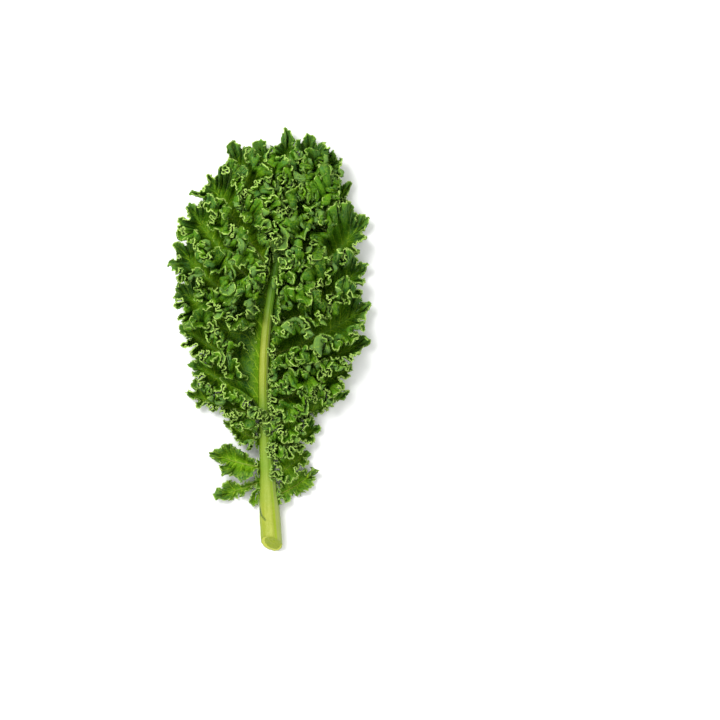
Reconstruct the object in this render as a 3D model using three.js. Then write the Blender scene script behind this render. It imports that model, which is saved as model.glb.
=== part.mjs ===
// A curly kale leaf, picked and lying on its back: one stalk that runs on as the midrib, with ruffled
// lobes along both sides and one at the tip. Each lobe is a trough of leaf blade: its vein lies low and
// its frilled rims stand up. Millimetres, +Z up, +Y from the cut end to the leaf's tip. The origin is
// under the middle of the leaf, on the surface that it lies on.
import * as THREE from "three";

// Driving dimensions.
const bladeThickness = 2.6; // the frilled blade's plain stand-in, thicker than the leaf itself
const pieceGap = 0.6; // between neighbouring pieces
const stalkSides = 14;
const stalkRings = 22;
const lobeSections = 10;
const cutSlope = 0.75; // how far the slanted cut runs back for each millimetre of height
const cutSkew = 0.3; // and forward for each millimetre to the right
const tallestRim = 34; // the frills' height above the surface, at the middle of the leaf
const lobeWidth = 40; // a full lobe, before its neighbours limit it
const petioluleHalfWidth = 3.4; // a lobe's narrow foot at the midrib

// The midrib's centre line: across, along, height of its axis, and its radius.
const midrib = [
  { x: 0.4, y: -144.0, z: 7.6, radius: 7.4 },
  { x: -0.5, y: -126, z: 7.3, radius: 7.0 },
  { x: -1.8, y: -110, z: 7.1, radius: 6.2 },
  { x: -3.2, y: -94, z: 7.6, radius: 4.9 },
  { x: -4.1, y: -68, z: 8.8, radius: 4.1 },
  { x: -4.7, y: -42, z: 10.0, radius: 3.7 },
  { x: -4.8, y: -14, z: 11.0, radius: 3.6 },
  { x: -3.2, y: 10, z: 11.8, radius: 3.2 },
  { x: 1.4, y: 36, z: 12.6, radius: 2.6 },
  { x: 6.0, y: 60, z: 13.2, radius: 2.0 },
  { x: 9.2, y: 86, z: 13.4, radius: 1.5 },
  { x: 10.8, y: 108, z: 12.8, radius: 1.1 },
];

// Each lobe: where its vein leaves the midrib, where its tip is, how high its rims stand, and how full
// its blade is next to an ordinary lobe's. One with a rootX too starts there, beside the stalk.
// The order runs from the cut end to the leaf's tip.
const leftLobes = [
  { name: "left_leaflet", rootX: -10.4, rootY: -105.2, tip: [-13.4, -119.2], rim: 6, full: 0.16, lift: 2 },
  { name: "left_lobe_01", rootY: -98, tip: [-40.5, -111], rim: 11, full: 0.42, lift: 3 },
  { name: "left_lobe_02", rootY: -91, tip: [-43, -80], rim: 15, full: 0.85, lift: 5 },
  { name: "left_lobe_03", rootY: -73, tip: [-35, -56], rim: 18, full: 0.6, lift: 6 },
  { name: "left_lobe_04", rootY: -54, tip: [-62, -36], rim: 22, full: 0.9, lift: 5 },
  { name: "left_lobe_05", rootY: -39.5, tip: [-59, -15], rim: 25, full: 1, lift: 7 },
  { name: "left_lobe_06", rootY: -23, tip: [-66.5, 12], rim: 28, full: 1, lift: 6 },
  { name: "left_lobe_07", rootY: -6, tip: [-66.8, 39], rim: 31, full: 1, lift: 5 },
  { name: "left_lobe_08", rootY: 12, tip: [-66.4, 67], rim: 32, full: 1, lift: 7 },
  { name: "left_lobe_09", rootY: 30, tip: [-58, 95], rim: 32, full: 1, lift: 8 },
  { name: "left_lobe_10", rootY: 47.5, tip: [-45, 118.5], rim: 30, full: 1, lift: 8 },
  { name: "left_lobe_11", rootY: 66, tip: [-26.5, 138.5], rim: 28, full: 0.9, lift: 9 },
  { name: "left_lobe_12", rootY: 85, tip: [-8, 140], rim: 25, full: 0.8, lift: 8 },
];
const rightLobes = [
  { name: "right_lobe_01", rootY: -113, tip: [33, -92], rim: 11, full: 0.6, lift: 5 },
  { name: "right_lobe_02", rootY: -98, tip: [28.5, -78], rim: 16, full: 0.7, lift: 6 },
  { name: "right_lobe_03", rootY: -80, tip: [37, -60], rim: 19, full: 0.8, lift: 6 },
  { name: "right_lobe_04", rootY: -62, tip: [57.5, -36], rim: 22, full: 0.9, lift: 4 },
  { name: "right_lobe_05", rootY: -46, tip: [60, -17], rim: 25, full: 1, lift: 6 },
  { name: "right_lobe_06", rootY: -30, tip: [68, 0.5], rim: 28, full: 1, lift: 5 },
  { name: "right_lobe_07", rootY: -13, tip: [67.8, 24], rim: 31, full: 1, lift: 6 },
  { name: "right_lobe_08", rootY: 6, tip: [67.2, 53], rim: 32, full: 1, lift: 7 },
  { name: "right_lobe_09", rootY: 25, tip: [66.9, 85], rim: 32, full: 1, lift: 6 },
  { name: "right_lobe_10", rootY: 43.5, tip: [57, 113], rim: 31, full: 1, lift: 8 },
  { name: "right_lobe_11", rootY: 62.5, tip: [44, 135], rim: 30, full: 1, lift: 9 },
  { name: "right_lobe_12", rootY: 83, tip: [28, 144], rim: 26, full: 0.8, lift: 9 },
];
const tipLobe = { name: "tip_lobe", rootY: 108, tip: [12, 149.6], rim: 22, full: 0.7, lift: 9 };

const blade = new THREE.MeshStandardMaterial({ color: 0x3f7a22, roughness: 0.55, metalness: 0 });
const tenderBlade = new THREE.MeshStandardMaterial({ color: 0x5a9427, roughness: 0.5, metalness: 0 });
const rib = new THREE.MeshStandardMaterial({ color: 0xb5c95c, roughness: 0.42, metalness: 0 });

const midribCurve = new THREE.CatmullRomCurve3(midrib.map((p) => new THREE.Vector3(p.x, p.y, p.z)));

// The midrib's radius at a distance along the leaf.
function midribRadius(y) {
  const next = midrib.findIndex((p) => p.y >= y);
  if (next <= 0) return next === 0 ? midrib[0].radius : midrib.at(-1).radius;
  const [a, b] = [midrib[next - 1], midrib[next]];
  return THREE.MathUtils.lerp(a.radius, b.radius, (y - a.y) / (b.y - a.y));
}

// The point of the midrib's centre line at a distance along the leaf.
function midribAt(y) {
  let [low, high] = [0, 1];
  for (let i = 0; i < 30; i++) {
    const middle = (low + high) / 2;
    if (midribCurve.getPoint(middle).y < y) low = middle;
    else high = middle;
  }
  return midribCurve.getPoint(low);
}

// A closed skin over rings of equal point counts, with a flat cap on each end.
function loft(rings) {
  const count = rings[0].length;
  const points = rings.flat();
  const faces = [];
  for (let r = 0; r + 1 < rings.length; r++)
    for (let i = 0; i < count; i++) {
      const [a, b] = [r * count + i, r * count + ((i + 1) % count)];
      faces.push(a, b, b + count, a, b + count, a + count);
    }
  const outline = rings[0].map((_, i) => i);
  const last = (rings.length - 1) * count;
  for (const [p, q, s] of fan(outline.length)) {
    faces.push(p, s, q);
    faces.push(last + p, last + q, last + s);
  }
  const geometry = new THREE.BufferGeometry();
  geometry.setAttribute("position", new THREE.Float32BufferAttribute(points.flatMap((v) => v.toArray()), 3));
  geometry.setIndex(faces);
  geometry.computeVertexNormals();
  return geometry;
}

// Triangles across a ring whose first half runs one way and whose second half runs back beside it.
function fan(count) {
  const made = [];
  for (let i = 0; i + 1 < count / 2; i++) {
    const [a, b, c, d] = [i, i + 1, count - 2 - i, count - 1 - i];
    made.push([a, b, d]);
    if (b !== c) made.push([b, c, d]);
  }
  return made;
}

// The stalk: round below, flatter and channelled above, ribbed, and cut off on a slant at its foot.
function stalkGeometry() {
  const rings = [];
  for (let r = 0; r < stalkRings; r++) {
    const along = r / (stalkRings - 1);
    const centre = midribCurve.getPoint(along);
    const tangent = midribCurve.getTangent(along);
    const side = new THREE.Vector3(tangent.y, -tangent.x, 0).normalize();
    const up = new THREE.Vector3().crossVectors(side, tangent).normalize();
    const radius = midribRadius(centre.y);
    const ring = [];
    for (let i = 0; i < stalkSides; i++) {
      const angle = (-2 * Math.PI * (i + 0.5)) / stalkSides;
      const height = Math.sin(angle);
      const flat = height > 0 ? 0.78 : 1;
      const rise = radius * height * flat;
      const aside = radius * Math.cos(angle);
      const point = centre.clone().addScaledVector(side, aside).addScaledVector(up, rise);
      if (r === 0) point.y += rise * cutSlope - aside * cutSkew;
      ring.push(point);
    }
    rings.push(ring);
  }
  return loft(rings);
}

// A lobe's centre line in plan, from beside the midrib to its tip, bowed a little towards the leaf's tip.
function lobeAxis(lobe) {
  const root = lobe.rootX ? new THREE.Vector3(lobe.rootX, lobe.rootY, 0) : midribAt(lobe.rootY);
  const tip = new THREE.Vector3(lobe.tip[0], lobe.tip[1], 0);
  root.z = 0;
  const run = tip.clone().sub(root);
  const bow = lobe === tipLobe ? 0 : 0.1 * run.length() * Math.sign(run.x);
  const middle = root.clone().addScaledVector(run, 0.5);
  middle.add(new THREE.Vector3(run.y, -run.x, 0).normalize().multiplyScalar(bow));
  return new THREE.QuadraticBezierCurve3(root, middle, tip);
}

// How far along its axis a lobe's blade starts, so that its foot clears the midrib.
function footOf(lobe, axis) {
  if (lobe === tipLobe) return (pieceGap + 0.3) / axis.getLength();
  if (lobe.rootX) return 0;
  const midribDirection = midribCurve.getTangent(0.5);
  const leaving = axis.getTangent(0).angleTo(midribDirection.setZ(0));
  const turned = petioluleHalfWidth * Math.abs(Math.cos(leaving)) * lobe.full;
  const clear = midribRadius(lobe.rootY) + pieceGap + turned;
  return clear / Math.sin(leaving) / axis.getLength();
}

const lobes = [...leftLobes, ...rightLobes, tipLobe];
const axes = new Map(lobes.map((lobe) => [lobe, lobeAxis(lobe)]));
const axisSteps = 40;
const axisPoints = new Map(lobes.map((lobe) => [lobe, axes.get(lobe).getPoints(axisSteps)]));
const midribPoints = midribCurve.getPoints(3 * axisSteps);

// Half the distance from a point to the nearest other lobe's axis, so that neighbours never meet.
function roomAt(point, lobe) {
  let nearest = Infinity;
  for (const other of lobes) {
    if (other === lobe) continue;
    for (const p of axisPoints.get(other)) nearest = Math.min(nearest, p.distanceTo(point));
  }
  let room = nearest / 2 - pieceGap / 2;
  for (const p of midribPoints) {
    const flat = new THREE.Vector3(p.x, p.y, 0);
    room = Math.min(room, Math.max(flat.distanceTo(point) - midribRadius(p.y) - pieceGap, 1.2));
  }
  return room;
}

// One lobe: sections across its vein, each an open trough with a flat underside and frilled rims.
function lobeGeometry(lobe) {
  const axis = axes.get(lobe);
  const foot = footOf(lobe, axis);
  const rootHeight = Math.max(midribAt(lobe.rootY).z - 5, 0.6);
  const rings = [];
  for (let s = 0; s < lobeSections; s++) {
    const share = s / (lobeSections - 1);
    const along = THREE.MathUtils.lerp(foot, 1, share);
    const centre = axis.getPoint(along);
    const tangent = axis.getTangent(along);
    const across = new THREE.Vector3(-tangent.y, tangent.x, 0);
    const fullness = 0.2 + 0.8 * Math.pow(Math.sin(Math.PI * (0.16 + 0.8 * share)), 0.8);
    const wanted = Math.min((lobeWidth / 2) * lobe.full * fullness, petioluleHalfWidth + 40 * share);
    const half = Math.max(Math.min(wanted, roomAt(centre, lobe)), 1.2);
    const frill = s % 2 ? 0.9 : 1;
    const rimShare = 0.42 + 0.58 * Math.sin(Math.PI * Math.min(0.2 + 0.75 * share, 1));
    const rim = Math.max(lobe.rim * rimShare * frill, 5);
    const settle = THREE.MathUtils.smoothstep(share, 0, 0.4);
    const curl = THREE.MathUtils.smoothstep(share, 0.7, 1) * lobe.lift;
    const floor = rootHeight * (1 - settle) + curl;
    rings.push(troughRing(centre, across, half, floor, Math.min(rim + floor, tallestRim)));
  }
  return loft(rings);
}

// A trough's section: along the underside from rim to rim, then back along the top side.
function troughRing(centre, across, half, floor, top) {
  const height = top - floor;
  const wall = Math.min(bladeThickness, 0.7 * half);
  const under = [
    [-half, height],
    [-0.86 * half, 0.34 * height],
    [-0.34 * half, 0],
    [0.34 * half, 0],
    [0.86 * half, 0.34 * height],
    [half, height],
  ];
  const above = [
    [half - wall, height],
    [Math.max(0.86 * half - wall, 0.3 * half), 0.34 * height + 0.5 * bladeThickness],
    [0.2 * half, bladeThickness],
    [-0.2 * half, bladeThickness],
    [-Math.max(0.86 * half - wall, 0.3 * half), 0.34 * height + 0.5 * bladeThickness],
    [-half + wall, height],
  ];
  return [...under, ...above].map(([sideways, rise]) =>
    centre.clone().addScaledVector(across, sideways).setZ(floor + rise),
  );
}

function named(name, geometry, material) {
  const mesh = new THREE.Mesh(geometry, material);
  mesh.name = name;
  return mesh;
}

const leaf = new THREE.Group();
leaf.add(named("stalk", stalkGeometry(), rib));
for (const lobe of lobes) {
  leaf.add(named(lobe.name, lobeGeometry(lobe), lobe.full < 0.7 ? tenderBlade : blade));
}

// The origin goes under the middle of the leaf's box.
const box = new THREE.Box3().setFromObject(leaf);
const centre = box.getCenter(new THREE.Vector3());
leaf.position.set(-centre.x, -centre.y, -box.min.z);

export default leaf;
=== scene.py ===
import bpy
import numpy as np
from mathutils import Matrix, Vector


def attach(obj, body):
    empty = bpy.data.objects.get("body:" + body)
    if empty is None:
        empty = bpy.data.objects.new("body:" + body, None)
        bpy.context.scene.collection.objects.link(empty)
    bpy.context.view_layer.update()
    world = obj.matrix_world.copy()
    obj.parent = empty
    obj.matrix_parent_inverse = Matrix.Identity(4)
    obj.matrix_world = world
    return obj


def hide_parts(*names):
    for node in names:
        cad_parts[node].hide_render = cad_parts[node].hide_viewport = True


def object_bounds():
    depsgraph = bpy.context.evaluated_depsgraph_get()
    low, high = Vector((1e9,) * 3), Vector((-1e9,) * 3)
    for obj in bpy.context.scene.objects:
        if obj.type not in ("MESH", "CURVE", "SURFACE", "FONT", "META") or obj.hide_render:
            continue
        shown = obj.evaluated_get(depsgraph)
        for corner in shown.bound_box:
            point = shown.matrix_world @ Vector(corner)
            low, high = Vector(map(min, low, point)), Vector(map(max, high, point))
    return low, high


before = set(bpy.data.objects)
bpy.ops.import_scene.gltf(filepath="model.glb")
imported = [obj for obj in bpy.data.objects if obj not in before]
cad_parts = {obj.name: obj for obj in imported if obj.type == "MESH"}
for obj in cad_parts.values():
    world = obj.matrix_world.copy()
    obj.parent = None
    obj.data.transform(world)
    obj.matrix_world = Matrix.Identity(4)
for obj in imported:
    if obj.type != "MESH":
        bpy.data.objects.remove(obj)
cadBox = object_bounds()

# Lengths are millimetres until a mesh is made, and metres in every mesh.
toMetres = 0.001


def smooth(low, high, value):
    share = np.clip((value - low) / (high - low), 0, 1)
    return share * share * (3 - 2 * share)


def blendTo(first, second, share):
    return first * (1 - share) + second * share


def unit(vectors):
    return vectors / np.maximum(np.linalg.norm(vectors, axis=-1, keepdims=True), 1e-9)


def fitted(along, values, degree):
    return np.polynomial.Polynomial.fit(along, values, degree)


def lengthsAlong(points):
    return np.concatenate([[0], np.cumsum(np.linalg.norm(np.diff(points, axis=0), axis=1))])


# A wave of about one length, whose phase and height wander from knot to knot as it runs along.
def waver(along, length, rng, wander=0.9, knotGap=1.7, heights=(0.45, 1.25)):
    pastEnd = along.max() + 4 * length
    knots = np.arange(0, pastEnd, knotGap * length)
    shift = np.interp(along, knots, rng.uniform(-np.pi, np.pi, len(knots)) * wander)
    swell = np.interp(along, knots, rng.uniform(*heights, len(knots)))
    return swell * np.sin(2 * np.pi * along / length + shift)


# A colour from its screen code, as the light that the shader works with.
def paint(tone):
    parts = [int(tone[i:i + 2], 16) / 255 for i in (0, 2, 4)]
    return (*[p / 12.92 if p <= 0.04045 else ((p + 0.055) / 1.055) ** 2.4 for p in parts], 1.0)


def newObject(name, data):
    made = bpy.data.objects.new(name, data)
    bpy.context.scene.collection.objects.link(made)
    return made


# Any node is added here. Its settings go in first, because they may change which sockets it has.
class Board:
    def __init__(self, tree):
        self.tree = tree

    def add(self, kind, settings=None, sockets=None, out=0):
        made = self.tree.nodes.new(kind)
        for name, value in (settings or {}).items():
            setattr(made, name, value)
        for name, value in (sockets or {}).items():
            if isinstance(value, Wire):
                self.tree.links.new(value.socket, made.inputs[name])
            else:
                made.inputs[name].default_value = value
        return Wire(self, made.outputs[out]) if made.outputs else None


# A node's output that sums can be written with.
class Wire:
    def __init__(self, board, socket):
        self.board, self.socket = board, socket

    def __add__(self, other):
        return maths("ADD", self, other)

    def __radd__(self, other):
        return maths("ADD", other, self)

    def __sub__(self, other):
        return maths("SUBTRACT", self, other)

    def __rsub__(self, other):
        return maths("SUBTRACT", other, self)

    def __mul__(self, other):
        return maths("MULTIPLY", self, other)

    def __rmul__(self, other):
        return maths("MULTIPLY", other, self)

    def __truediv__(self, other):
        return maths("DIVIDE", self, other)

    def fade(self, low, high):
        return self.board.add("ShaderNodeMapRange", {"interpolation_type": "SMOOTHSTEP"},
                              {"Value": self, "From Min": low, "From Max": high})

    # How far a repeating pattern is from its nearest whole number, from 0 to a half.
    def offWhole(self):
        return 0.5 - maths("ABSOLUTE", maths("FRACT", self) - 0.5)


def maths(operation, *items):
    board = next(item.board for item in items if isinstance(item, Wire))
    return board.add("ShaderNodeMath", {"operation": operation}, dict(enumerate(items)))


class Paints(Board):
    def __init__(self, name):
        self.material = bpy.data.materials.new(name)
        self.material.use_nodes = True
        super().__init__(self.material.node_tree)
        self.surface = self.tree.nodes["Principled BSDF"]
        self.place = self.add("ShaderNodeTexCoord", out=3)

    def fact(self, name, out=2):
        settings = {"attribute_type": "GEOMETRY", "attribute_name": name}
        return self.add("ShaderNodeAttribute", settings, out=out)

    def mix(self, share, first, second):
        return self.add("ShaderNodeMix", {"data_type": "RGBA"}, {0: share, 6: first, 7: second}, out=2)

    def layered(self, tone, finish, layers):
        for name, share in layers:
            tone = self.mix(share, tone, finish[name])
        return tone

    def noise(self, scale, detail=2.0, rough=0.5, where=None):
        sockets = {"Vector": where or self.place, "Scale": scale, "Detail": detail, "Roughness": rough}
        return self.add("ShaderNodeTexNoise", {}, sockets)

    def complete(self, tone, rough, height, finish):
        self.surface.inputs["Specular IOR Level"].default_value = finish["gloss"]
        self.tree.links.new(tone.socket, self.surface.inputs["Base Color"])
        self.tree.links.new(rough.socket, self.surface.inputs["Roughness"])
        bump = {"Strength": finish["bumpStrength"], "Distance": finish["bumpDepth"], "Height": height}
        bump = self.add("ShaderNodeBump", {}, bump)
        self.tree.links.new(bump.socket, self.surface.inputs["Normal"])
        return self.material


# Floor, light and camera. The camera looks straight down on the laid leaf.
studio = {
    "frameWidth": 0.507,  # of what the picture takes in, at the leaf's height
    "aim": (0.0627, -0.0148, 0.012),
    "lens": 100,
    "sensor": 36,
    "sky": 1.0,
    "keyPower": 8.7,
    "keySize": 0.45,
    "keyAt": (-0.38, 0.42, 0.85),
    "floorTone": 0.93,
    "floorRoughness": 0.9,
    "floorHalf": 6.0,
}


def makeStudio():
    scene = bpy.context.scene
    lens = bpy.data.cameras.new("camera")
    lens.lens, lens.sensor_width = studio["lens"], studio["sensor"]
    camera = newObject("camera", lens)
    distance = studio["frameWidth"] * studio["lens"] / studio["sensor"]
    camera.location = Vector(studio["aim"]) + Vector((0, 0, distance))
    scene.camera = camera
    world = bpy.data.worlds.new("sky")
    world.use_nodes = True
    sky = world.node_tree.nodes["Background"]
    sky.inputs["Color"].default_value = (1, 1, 1, 1)
    sky.inputs["Strength"].default_value = studio["sky"]
    scene.world = world
    lamp = bpy.data.lights.new("key", "AREA")
    lamp.energy, lamp.size = studio["keyPower"], studio["keySize"]
    key = newObject("key", lamp)
    key.location = studio["keyAt"]
    key.rotation_euler = (-key.location).to_track_quat("-Z", "Y").to_euler()
    scene.view_settings.view_transform = "Standard"
    half = studio["floorHalf"]
    mesh = bpy.data.meshes.new("floor")
    corners = [(-half, -half, 0), (half, -half, 0), (half, half, 0), (-half, half, 0)]
    mesh.from_pydata(corners, [], [(0, 1, 2, 3)])
    floor = newObject("floor", mesh)
    pale = Paints("pale floor")
    pale.surface.inputs["Base Color"].default_value = (*[studio["floorTone"]] * 3, 1)
    pale.surface.inputs["Roughness"].default_value = studio["floorRoughness"]
    mesh.materials.append(pale.material)


bladeFinish = {
    "deepAndShade": paint("184203"),
    "middle": paint("386b08"),
    "fresh": paint("6fa10a"),
    "waxy": paint("426f42"),
    "underside": paint("6c9052"),
    "rim": paint("abcb64"),
    "vein": paint("a4c42c"),
    "rimWidth": 0.74,  # of the pale line along the margin
    "freshBand": 4.0,  # of the fresher green beside it
    "veinGap": 10.0,  # between main side veins, along the blade's edge
    "veinWidth": 0.38,
    "lesserGap": 4.2,  # between the small veins that branch off a side vein
    "leastVeins": 7.3,  # in one main gap, near the margin
    "patches": 38.0,  # patterns, in repeats a metre
    "mottling": 160.0,
    "grain": 900.0,
    "waxyPatches": 70.0,
    "cells": 420.0,
    "freshShown": 0.45,  # how much one colour shows over the others
    "tenderAndLitShown": 0.72,
    "waxyShown": 0.4,
    "undersideShown": 0.48,
    "veinShown": 0.24,
    "rimShown": 0.9,
    "roughness": 0.5,
    "waxyRoughness": 0.68,
    "gloss": 0.12,
    "bumpDepth": 0.0004,
    "bumpStrength": 0.5,
}


# Green in patches and waxy here and there, with pale veins that branch towards a pale margin. Deeper green
# towards the vein is painted shade in the folds, and fresher green beside the vein is partly painted light.
def bladeMaterial(finish):
    board = Paints("blade")
    toMargin, edge, across, fromVein, stretch, tender, atTip, beneath = [board.fact(name) for name in (
        "toMargin", "edgePlace", "across", "fromVein", "stretch", "tender", "atTip", "beneath")]
    broad, medium = board.noise(finish["patches"]), board.noise(finish["mottling"], 3.0)
    fine = board.noise(finish["grain"], 3.0, 0.6)
    nearMargin = across.fade(0.3, 0.9)

    def apartBy(gap):
        return (edge / gap + (medium - 0.5) * 0.5 + (broad - 0.5) * 1.2).offWhole() * gap * stretch

    def lineOf(distance, inner, outer):
        return 1 - distance.fade(finish["veinWidth"] * inner, finish["veinWidth"] * outer)

    main = apartBy(finish["veinGap"])
    branching = (fromVein - main * 0.9) / finish["lesserGap"] + (medium - 0.5) * 0.7
    lesser = lineOf(branching.offWhole() * finish["lesserGap"], 0.35, 1.1) * 0.65
    least = lineOf(apartBy(finish["veinGap"] / finish["leastVeins"]), 0.3, 0.9) * across.fade(0.5, 0.6) * 0.45
    lines = maths("MAXIMUM", maths("MAXIMUM", lineOf(main, 0.5, 1.5), lesser), least)
    net = board.add("ShaderNodeTexVoronoi", {"feature": "DISTANCE_TO_EDGE"},
                    {"Vector": board.place, "Scale": finish["cells"]})
    waxy = board.noise(finish["waxyPatches"]).fade(0.56, 0.72) * finish["waxyShown"] * (1 - tender)
    waxy = maths("MAXIMUM", waxy, maths("MAXIMUM", atTip * 0.5, tender * 0.55) * nearMargin)
    shown = lines * (finish["veinShown"] + tender * 0.5 + beneath * 0.15)
    green = board.mix(broad.fade(0.36, 0.66), finish["deepAndShade"], finish["middle"])
    green = board.layered(green, finish, [  # each colour, and how much it covers those before it
        ("fresh", medium.fade(0.40, 0.78) * finish["freshShown"]),
        # painted shade: deeper green towards the vein, down in each fold
        ("deepAndShade", (1 - across) * 0.5),
        # fresher green where the blade is tender; towards the vein this is painted light
        ("fresh", tender * (finish["tenderAndLitShown"] - nearMargin * 0.56)),
        ("waxy", waxy),
        ("underside", beneath * (finish["undersideShown"] - tender * 0.2)),
        ("vein", shown + (1 - net.fade(0.02, 0.12)) * 0.1),
        ("fresh", (1 - toMargin.fade(0.3, finish["freshBand"])) * (0.35 - tender * 0.3)),
        ("rim", (1 - toMargin.fade(finish["rimWidth"] * 0.7, finish["rimWidth"] * 1.35))
         * (finish["rimShown"] - tender * 0.35)),
    ])
    rough = finish["roughness"] + waxy * (finish["waxyRoughness"] - finish["roughness"]) + (fine - 0.5) * 0.15
    height = net.fade(0.0, 0.3) * 0.5 + lines * (beneath * 1.6 - 0.8) + fine * 0.35
    return board.complete(green, rough, height, finish)


ribFinish = {
    "pale": paint("8a971d"),
    "light": paint("a3ad45"),
    "green": paint("6f8f1a"),
    "youngAndShade": paint("5a8a1a"),
    "groove": paint("85a206"),
    "shoulder": paint("98a45c"),
    "fleck": paint("b4bc66"),
    "cutRim": paint("bec644"),
    "cutHeart": paint("86980a"),
    "scar": paint("38541a"),
    "fibres": 3.2,  # round the stalk
    "fineFibres": 11.0,
    "fibreTurn": 26.0,  # how soon a fibre changes on its way along
    "blotches": 60.0,
    "flecks": 1100.0,
    "lightAt": -0.12,  # of the stalk's half width, from the left to the right
    "grooveAt": 0.45,
    "shoulderAt": 0.5,
    "roughness": 0.42,
    "gloss": 0.25,
    "bumpDepth": 0.0004,
    "bumpStrength": 0.4,
}


# Pale green with fine lengthwise fibres, greener towards the tip, with painted shade in darker green bands
# along the lower midrib, and juicier where it is cut.
def ribMaterial(finish):
    board = Paints("rib")
    around, along = board.fact("around", 1), board.fact("fromCut")
    aside, below = [board.add("ShaderNodeSeparateXYZ", {}, {0: around}, out=number) for number in (0, 1)]
    strand = board.add("ShaderNodeCombineXYZ", {}, {"Z": along * finish["fibreTurn"]})
    strand = board.add("ShaderNodeVectorMath", {"operation": "ADD"}, {0: around, 1: strand})
    fibre = board.noise(finish["fibres"], 3.0, 0.6, strand)
    fineFibre = board.noise(finish["fineFibres"], 3.0, 0.6, strand)
    blotch, flecks = board.noise(finish["blotches"]), board.noise(finish["flecks"], 3.0, 0.6)
    youngAndShade, heart, scar = board.fact("youngAndShade"), board.fact("heart"), board.fact("scar")
    cutFace = heart.fade(0.02, 0.1)
    middle = 1 - maths("ABSOLUTE", aside - finish["lightAt"]).fade(0.15, 0.6)
    groove = 1 - maths("ABSOLUTE", aside - finish["grooveAt"]).fade(0.02, 0.13)
    groove = groove * (1 - below.fade(-0.5, 0.0)) * (0.3 + fibre) * (1 - cutFace)
    edge = maths("ABSOLUTE", aside).fade(0.7, 1.0)
    rimOver = (below * 0.24 - aside * 0.18) * (1 - heart)
    pith = (heart - rimOver + (blotch - 0.5) * 0.3) * heart.fade(0.01, 0.03)
    tone = board.mix(fibre.fade(0.3, 0.7) * 0.5 + middle * 0.5, finish["pale"], finish["light"])
    tone = board.layered(tone, finish, [
        ("shoulder", aside.fade(finish["shoulderAt"], 0.64) * 0.65),
        ("green", fineFibre.fade(0.5, 0.75) * 0.25),
        ("groove", groove * 0.8),
        ("fleck", flecks.fade(0.5, 0.7) * (0.2 + middle * 0.3)),
        ("green", blotch.fade(0.48, 0.8) * 0.3 + edge * 0.35),
        # greener towards the tip; the bands further down are painted shade
        ("youngAndShade", youngAndShade),
        ("cutRim", cutFace),
        ("cutHeart", pith.fade(0.16, 0.26) * (0.72 + 0.28 * flecks.fade(0.35, 0.6))),
        ("scar", scar),
    ])
    rough = finish["roughness"] + (fineFibre - 0.5) * 0.2 + heart * 0.1
    strands = (fibre * 0.6 + fineFibre * 0.3) * (1 - heart)
    height = strands + flecks * heart * 0.4 - scar * 0.8 - groove * 0.6
    return board.complete(tone, rough, height, finish)


def pointsOf(mesh):
    points = np.empty(3 * len(mesh.vertices), np.float32)
    mesh.vertices.foreach_get("co", points)
    return points.reshape(-1, 3) / toMetres


def nodePoints(name):
    return np.unique(np.round(pointsOf(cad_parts[name].data), 2), axis=0)


stalkPoints = nodePoints("stalk")
reading = {
    "ribStart": 4, "ribStep": 6, "ribReach": 8, "ribDegree": 6,  # the midrib's sections and the fit to them
    "ring": 12,  # points in one section of a trough
    "stations": 10, "stationReach": 0.07,  # along a lobe
}


# The midrib's line and width, read off the stalk's own solid.
def readMidrib():
    along = stalkPoints[:, 1]
    places = np.arange(along.min() + reading["ribStart"], along.max(), reading["ribStep"])
    found = []
    for place in places:
        near = stalkPoints[np.abs(along - place) < reading["ribReach"]]
        found.append([near[:, 0].max(), near[:, 0].min(), near[:, 2].max(), near[:, 2].min()])
    right, left, top, under = np.array(found).T
    lines = {"centre": (right + left) / 2, "radius": (right - left) / 2, "top": top, "under": under}
    return {name: fitted(places, values, reading["ribDegree"]) for name, values in lines.items()}


midrib = readMidrib()


# A lobe's vein line, half width, floor and rim, read off its trough section by section.
def readTrough(name):
    points = nodePoints(name)
    gaps = np.linalg.norm(points[:, None, :2] - stalkPoints[None, :, :2], axis=2).min(1)
    foot = points[np.argsort(gaps)[:reading["ring"]], :2].mean(0)
    away = -np.linalg.norm(points[:, :2] - foot, axis=1)
    tip = points[np.argsort(away)[:reading["ring"]], :2].mean(0)
    length = np.linalg.norm(tip - foot)
    ahead = (tip - foot) / length
    across = np.array([-ahead[1], ahead[0]])
    along = (points[:, :2] - foot) @ ahead / length
    aside = (points[:, :2] - foot) @ across
    stations = np.linspace(0, 1, reading["stations"])
    found = []
    for station in stations:
        near = np.abs(along - station) < reading["stationReach"]
        found.append([aside[near].max(), aside[near].min(), points[near, 2].min(), points[near, 2].max()])
    left, right, floor, top = np.array(found).T
    return {
        "name": name, "foot": foot, "ahead": ahead, "across": across, "length": length,
        "centre": fitted(stations, (left + right) / 2, 2), "half": fitted(stations, (left - right) / 2, 4),
        "floor": fitted(stations, floor, 4), "top": fitted(stations, top, 4),
    }


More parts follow.
